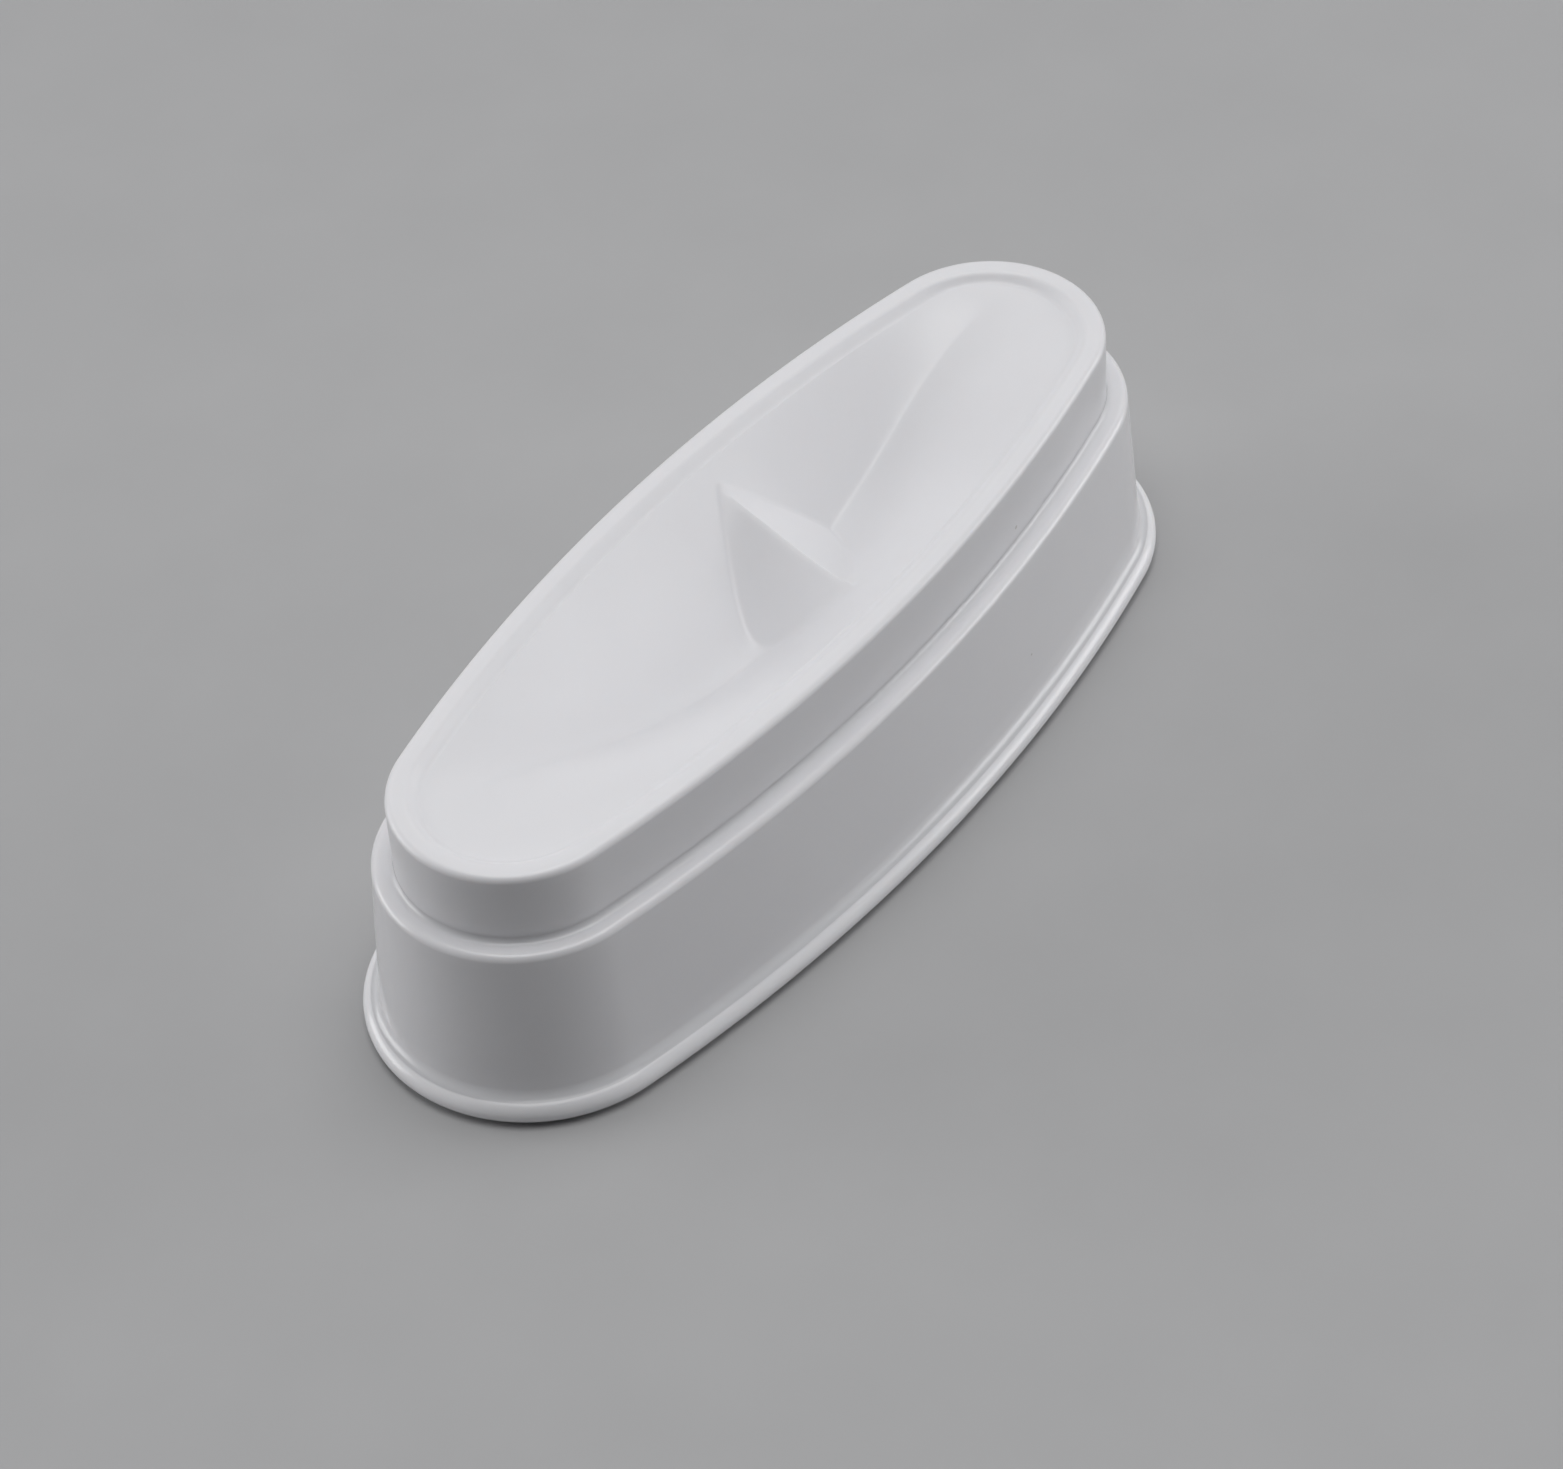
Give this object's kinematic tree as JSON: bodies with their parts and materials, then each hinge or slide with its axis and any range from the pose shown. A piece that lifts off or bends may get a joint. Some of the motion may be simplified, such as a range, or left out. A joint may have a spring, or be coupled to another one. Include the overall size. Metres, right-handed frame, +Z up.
{
  "type": "twin-well specimen dish",
  "caption": "Oval stepped lab dish in white plastic: flanged base dish, lift-off cover with a ledge, and a lift-out top dish with two V-shaped wells.",
  "frame": {"origin": "middle of the underside of the flanged base, on the surface it stands on", "axes": "+Z up, +X along the length of the oval towards the shorter well, +Y across it"},
  "size_m": [0.12, 0.0456, 0.0311],
  "materials": {
    "base_plastic": "gloss white moulded plastic",
    "cover_plastic": "gloss white moulded plastic",
    "dish_plastic": "gloss white moulded plastic"
  },
  "bodies": {
    "base": {"base_dish": "base_plastic"},
    "cover": {"cover_shell": "cover_plastic"},
    "top_dish": {"twin_well_dish": "dish_plastic"}
  },
  "joints": [
    {"name": "cover_lift", "type": "slide", "parent": "base", "child": "cover", "axis": [0, 0, 1], "range_m": [0, 0.04]},
    {"name": "dish_lift", "type": "slide", "parent": "cover", "child": "top_dish", "axis": [0, 0, 1], "range_m": [0, 0.03]}
  ]
}
